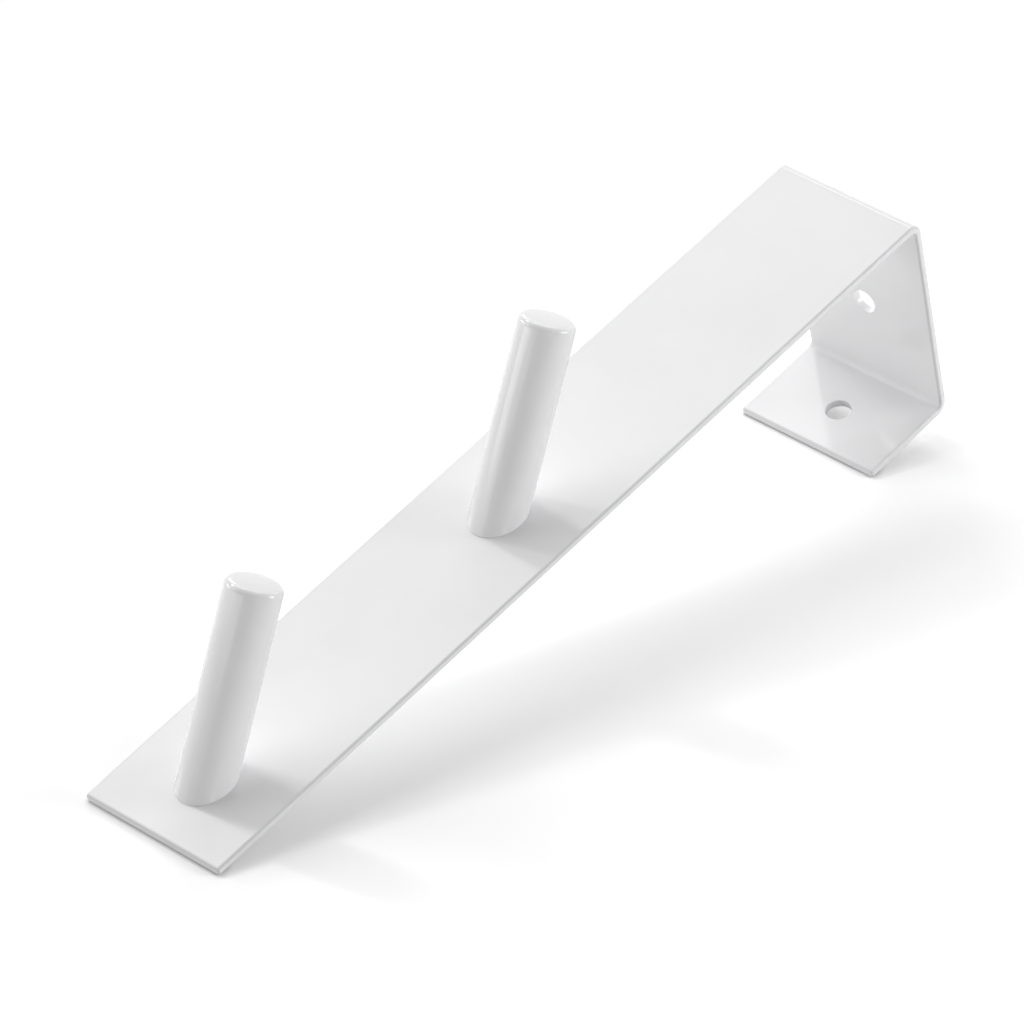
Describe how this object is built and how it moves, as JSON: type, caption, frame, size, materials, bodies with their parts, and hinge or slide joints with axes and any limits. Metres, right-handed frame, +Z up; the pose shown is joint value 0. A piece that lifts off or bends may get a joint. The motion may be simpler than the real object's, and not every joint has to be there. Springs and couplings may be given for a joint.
{
  "type": "over the door hook rack",
  "caption": "Bent steel strap that hooks over the top of a door and carries slanting round pegs to hang things on, with screw holes in its top and back flap.",
  "frame": {"origin": "centre of the object's outline on the table that it lies on, front face up", "axes": "+Z up from the table, +Y along the strap from its free end towards the bends, +X across the strap, to the right of someone who looks along +Y"},
  "size_m": [0.03, 0.185, 0.0592],
  "materials": {
    "powder_coat": "gloss white powder coat on steel",
    "zinc_plate": "bright zinc plate on steel"
  },
  "bodies": {
    "root": {"strap": "powder_coat", "lower_peg": "powder_coat", "upper_peg": "powder_coat", "lower_peg_screw": "zinc_plate", "upper_peg_screw": "zinc_plate"}
  },
  "joints": []
}
